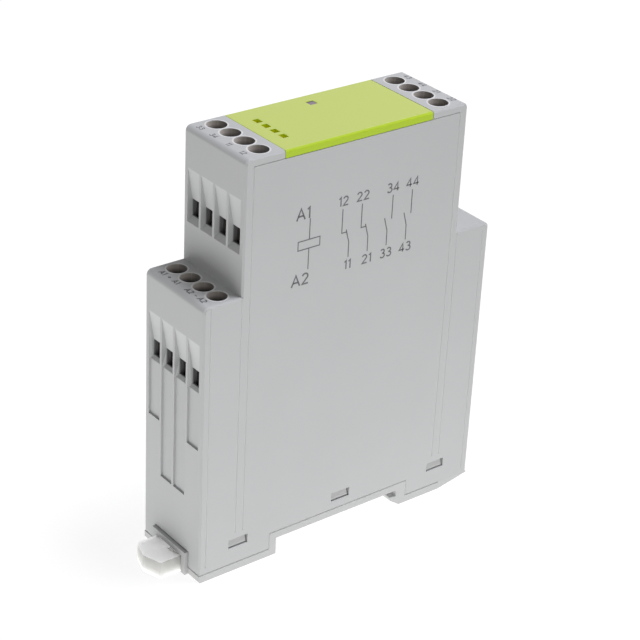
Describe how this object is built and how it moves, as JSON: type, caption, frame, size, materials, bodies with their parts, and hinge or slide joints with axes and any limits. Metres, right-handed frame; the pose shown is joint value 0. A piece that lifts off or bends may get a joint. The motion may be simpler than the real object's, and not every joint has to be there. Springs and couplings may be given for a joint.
{
  "type": "safety relay module",
  "caption": "Slim rail-mounting safety relay module with screw terminals on stepped shoulders, a lime front plate with a lamp window and a pull-out rail clip.",
  "frame": {"origin": "centre of the face that sits on the mounting rail", "axes": "+Z away from the rail to the front plate, Y along the rail, -X to the end with the rail clip"},
  "size_m": [0.0878, 0.0226, 0.1023],
  "materials": {
    "housing_grey": "fine matt moulded grain",
    "base_grey": "fine matt moulded grain",
    "front_lime": "satin lime green plastic",
    "lamp_clear": "clear plastic light guide, unlit",
    "clip_white": "translucent natural nylon",
    "spring_steel": "bright strip steel",
    "board_green": "glass-fibre board with solder resist",
    "led_white": "small chip lamp",
    "black_plastic": "moulded black",
    "varistor_blue": "dipped coating",
    "can_aluminium": "drawn can",
    "resistor_tan": "coated body",
    "relay_black": "moulded black",
    "relay_amber": "smooth cover",
    "bobbin_white": "moulded natural white",
    "copper_wire": "enamelled copper winding",
    "relay_iron": "soft iron, zinc plated",
    "contact_brass": "spring bronze with silver tips",
    "bar_tinned": "tin plated brass",
    "screw_steel": "zinc plated steel",
    "clamp_steel": "zinc plated steel"
  },
  "bodies": {
    "module": {"housing": "housing_grey", "rail_base": "base_grey", "front_plate": "front_lime", "light_guide": "lamp_clear", "clip_spring": "spring_steel", "circuit_board": "board_green", "led": "led_white", "bridge_rectifier": "black_plastic", "varistor": "varistor_blue", "capacitor": "can_aluminium", "resistors": "resistor_tan", "relay_base": "relay_black", "relay_cover": "relay_amber", "coil_bobbin": "bobbin_white", "coil_winding": "copper_wire", "coil_core": "relay_iron", "coil_yoke": "relay_iron", "fixed_contacts": "contact_brass", "relay_pins": "contact_brass", "conductor_bars_upper_left": "bar_tinned", "conductor_bars_upper_right": "bar_tinned", "conductor_bars_lower_left": "bar_tinned"},
    "rail_clip": {"rail_clip": "clip_white"},
    "armature": {"armature": "relay_iron"},
    "contact_slide": {"contact_slide": "bobbin_white"},
    "moving_contact_1": {"moving_contact_1": "contact_brass"},
    "moving_contact_2": {"moving_contact_2": "contact_brass"},
    "moving_contact_3": {"moving_contact_3": "contact_brass"},
    "moving_contact_4": {"moving_contact_4": "contact_brass"},
    "screw_upper_left_1": {"screw_upper_left_1": "screw_steel"},
    "clamp_upper_left_1": {"clamp_upper_left_1": "clamp_steel"},
    "screw_upper_left_2": {"screw_upper_left_2": "screw_steel"},
    "clamp_upper_left_2": {"clamp_upper_left_2": "clamp_steel"},
    "screw_upper_left_3": {"screw_upper_left_3": "screw_steel"},
    "clamp_upper_left_3": {"clamp_upper_left_3": "clamp_steel"},
    "screw_upper_left_4": {"screw_upper_left_4": "screw_steel"},
    "clamp_upper_left_4": {"clamp_upper_left_4": "clamp_steel"},
    "screw_upper_right_1": {"screw_upper_right_1": "screw_steel"},
    "clamp_upper_right_1": {"clamp_upper_right_1": "clamp_steel"},
    "screw_upper_right_2": {"screw_upper_right_2": "screw_steel"},
    "clamp_upper_right_2": {"clamp_upper_right_2": "clamp_steel"},
    "screw_upper_right_3": {"screw_upper_right_3": "screw_steel"},
    "clamp_upper_right_3": {"clamp_upper_right_3": "clamp_steel"},
    "screw_upper_right_4": {"screw_upper_right_4": "screw_steel"},
    "clamp_upper_right_4": {"clamp_upper_right_4": "clamp_steel"},
    "screw_lower_left_1": {"screw_lower_left_1": "screw_steel"},
    "clamp_lower_left_1": {"clamp_lower_left_1": "clamp_steel"},
    "screw_lower_left_2": {"screw_lower_left_2": "screw_steel"},
    "clamp_lower_left_2": {"clamp_lower_left_2": "clamp_steel"},
    "screw_lower_left_3": {"screw_lower_left_3": "screw_steel"},
    "clamp_lower_left_3": {"clamp_lower_left_3": "clamp_steel"},
    "screw_lower_left_4": {"screw_lower_left_4": "screw_steel"},
    "clamp_lower_left_4": {"clamp_lower_left_4": "clamp_steel"}
  },
  "joints": [
    {"name": "clip_pull", "type": "slide", "parent": "module", "child": "rail_clip", "axis": [-1, 0, 0], "range_m": [0, 0.0035], "stiffness_N_per_m": 2500, "springref_m": -0.002, "deforming": ["clip_spring"]},
    {"name": "armature_tilt", "type": "hinge", "parent": "module", "child": "armature", "pos_m": [0.0112, 0.00465, 0.0315], "axis": [0, 0, -1], "range_deg": [0, 6], "stiffness_Nm_per_rad": 0.02, "springref_deg": -5.73},
    {"name": "contact_slide_travel", "type": "slide", "parent": "module", "child": "contact_slide", "axis": [-1, 0, 0], "range_m": [0, 0.00093]},
    {"name": "moving_contact_1_tilt", "type": "hinge", "parent": "module", "child": "moving_contact_1", "pos_m": [-0.0175, 0.00535, 0.018], "axis": [0, 0, -1], "range_deg": [0, 5.6]},
    {"name": "moving_contact_2_tilt", "type": "hinge", "parent": "module", "child": "moving_contact_2", "pos_m": [-0.0089, 0.00535, 0.018], "axis": [0, 0, -1], "range_deg": [0, 5.6]},
    {"name": "moving_contact_3_tilt", "type": "hinge", "parent": "module", "child": "moving_contact_3", "pos_m": [-0.0003, 0.00535, 0.018], "axis": [0, 0, -1], "range_deg": [0, 5.6]},
    {"name": "moving_contact_4_tilt", "type": "hinge", "parent": "module", "child": "moving_contact_4", "pos_m": [0.0083, 0.00535, 0.018], "axis": [0, 0, -1], "range_deg": [0, 5.6]},
    {"name": "clamp_upper_left_1_lift", "type": "slide", "parent": "module", "child": "clamp_upper_left_1", "axis": [0, 0, 1], "range_m": [0, 0.0035]},
    {"name": "screw_upper_left_1_turn", "type": "hinge", "parent": "module", "child": "screw_upper_left_1", "pos_m": [-0.02455, -0.00762, 0.09015], "axis": [0, 0, -1], "range_deg": [0, 2521]},
    {"name": "clamp_upper_left_2_lift", "type": "slide", "parent": "module", "child": "clamp_upper_left_2", "axis": [0, 0, 1], "range_m": [0, 0.0035]},
    {"name": "screw_upper_left_2_turn", "type": "hinge", "parent": "module", "child": "screw_upper_left_2", "pos_m": [-0.02455, -0.00254, 0.09015], "axis": [0, 0, -1], "range_deg": [0, 2521]},
    {"name": "clamp_upper_left_3_lift", "type": "slide", "parent": "module", "child": "clamp_upper_left_3", "axis": [0, 0, 1], "range_m": [0, 0.0035]},
    {"name": "screw_upper_left_3_turn", "type": "hinge", "parent": "module", "child": "screw_upper_left_3", "pos_m": [-0.02455, 0.00254, 0.09015], "axis": [0, 0, -1], "range_deg": [0, 2521]},
    {"name": "clamp_upper_left_4_lift", "type": "slide", "parent": "module", "child": "clamp_upper_left_4", "axis": [0, 0, 1], "range_m": [0, 0.0035]},
    {"name": "screw_upper_left_4_turn", "type": "hinge", "parent": "module", "child": "screw_upper_left_4", "pos_m": [-0.02455, 0.00762, 0.09015], "axis": [0, 0, -1], "range_deg": [0, 2521]},
    {"name": "clamp_upper_right_1_lift", "type": "slide", "parent": "module", "child": "clamp_upper_right_1", "axis": [0, 0, 1], "range_m": [0, 0.0035]},
    {"name": "screw_upper_right_1_turn", "type": "hinge", "parent": "module", "child": "screw_upper_right_1", "pos_m": [0.02455, -0.00762, 0.09015], "axis": [0, 0, -1], "range_deg": [0, 2521]},
    {"name": "clamp_upper_right_2_lift", "type": "slide", "parent": "module", "child": "clamp_upper_right_2", "axis": [0, 0, 1], "range_m": [0, 0.0035]},
    {"name": "screw_upper_right_2_turn", "type": "hinge", "parent": "module", "child": "screw_upper_right_2", "pos_m": [0.02455, -0.00254, 0.09015], "axis": [0, 0, -1], "range_deg": [0, 2521]},
    {"name": "clamp_upper_right_3_lift", "type": "slide", "parent": "module", "child": "clamp_upper_right_3", "axis": [0, 0, 1], "range_m": [0, 0.0035]},
    {"name": "screw_upper_right_3_turn", "type": "hinge", "parent": "module", "child": "screw_upper_right_3", "pos_m": [0.02455, 0.00254, 0.09015], "axis": [0, 0, -1], "range_deg": [0, 2521]},
    {"name": "clamp_upper_right_4_lift", "type": "slide", "parent": "module", "child": "clamp_upper_right_4", "axis": [0, 0, 1], "range_m": [0, 0.0035]},
    {"name": "screw_upper_right_4_turn", "type": "hinge", "parent": "module", "child": "screw_upper_right_4", "pos_m": [0.02455, 0.00762, 0.09015], "axis": [0, 0, -1], "range_deg": [0, 2521]},
    {"name": "clamp_lower_left_1_lift", "type": "slide", "parent": "module", "child": "clamp_lower_left_1", "axis": [0, 0, 1], "range_m": [0, 0.0035]},
    {"name": "screw_lower_left_1_turn", "type": "hinge", "parent": "module", "child": "screw_lower_left_1", "pos_m": [-0.0343, -0.00762, 0.05835], "axis": [0, 0, -1], "range_deg": [0, 2521]},
    {"name": "clamp_lower_left_2_lift", "type": "slide", "parent": "module", "child": "clamp_lower_left_2", "axis": [0, 0, 1], "range_m": [0, 0.0035]},
    {"name": "screw_lower_left_2_turn", "type": "hinge", "parent": "module", "child": "screw_lower_left_2", "pos_m": [-0.0343, -0.00254, 0.05835], "axis": [0, 0, -1], "range_deg": [0, 2521]},
    {"name": "clamp_lower_left_3_lift", "type": "slide", "parent": "module", "child": "clamp_lower_left_3", "axis": [0, 0, 1], "range_m": [0, 0.0035]},
    {"name": "screw_lower_left_3_turn", "type": "hinge", "parent": "module", "child": "screw_lower_left_3", "pos_m": [-0.0343, 0.00254, 0.05835], "axis": [0, 0, -1], "range_deg": [0, 2521]},
    {"name": "clamp_lower_left_4_lift", "type": "slide", "parent": "module", "child": "clamp_lower_left_4", "axis": [0, 0, 1], "range_m": [0, 0.0035]},
    {"name": "screw_lower_left_4_turn", "type": "hinge", "parent": "module", "child": "screw_lower_left_4", "pos_m": [-0.0343, 0.00762, 0.05835], "axis": [0, 0, -1], "range_deg": [0, 2521]}
  ],
  "couplings": [
    {"joint": "contact_slide_travel", "follows": "armature_tilt", "m_per_rad": 0.0088},
    {"joint": "moving_contact_1_tilt", "follows": "armature_tilt", "ratio": 0.92632},
    {"joint": "moving_contact_2_tilt", "follows": "armature_tilt", "ratio": 0.92632},
    {"joint": "moving_contact_3_tilt", "follows": "armature_tilt", "ratio": 0.92632},
    {"joint": "moving_contact_4_tilt", "follows": "armature_tilt", "ratio": 0.92632},
    {"joint": "screw_upper_left_1_turn", "follows": "clamp_upper_left_1_lift", "rad_per_m": 12566},
    {"joint": "screw_upper_left_2_turn", "follows": "clamp_upper_left_2_lift", "rad_per_m": 12566},
    {"joint": "screw_upper_left_3_turn", "follows": "clamp_upper_left_3_lift", "rad_per_m": 12566},
    {"joint": "screw_upper_left_4_turn", "follows": "clamp_upper_left_4_lift", "rad_per_m": 12566},
    {"joint": "screw_upper_right_1_turn", "follows": "clamp_upper_right_1_lift", "rad_per_m": 12566},
    {"joint": "screw_upper_right_2_turn", "follows": "clamp_upper_right_2_lift", "rad_per_m": 12566},
    {"joint": "screw_upper_right_3_turn", "follows": "clamp_upper_right_3_lift", "rad_per_m": 12566},
    {"joint": "screw_upper_right_4_turn", "follows": "clamp_upper_right_4_lift", "rad_per_m": 12566},
    {"joint": "screw_lower_left_1_turn", "follows": "clamp_lower_left_1_lift", "rad_per_m": 12566},
    {"joint": "screw_lower_left_2_turn", "follows": "clamp_lower_left_2_lift", "rad_per_m": 12566},
    {"joint": "screw_lower_left_3_turn", "follows": "clamp_lower_left_3_lift", "rad_per_m": 12566},
    {"joint": "screw_lower_left_4_turn", "follows": "clamp_lower_left_4_lift", "rad_per_m": 12566}
  ]
}
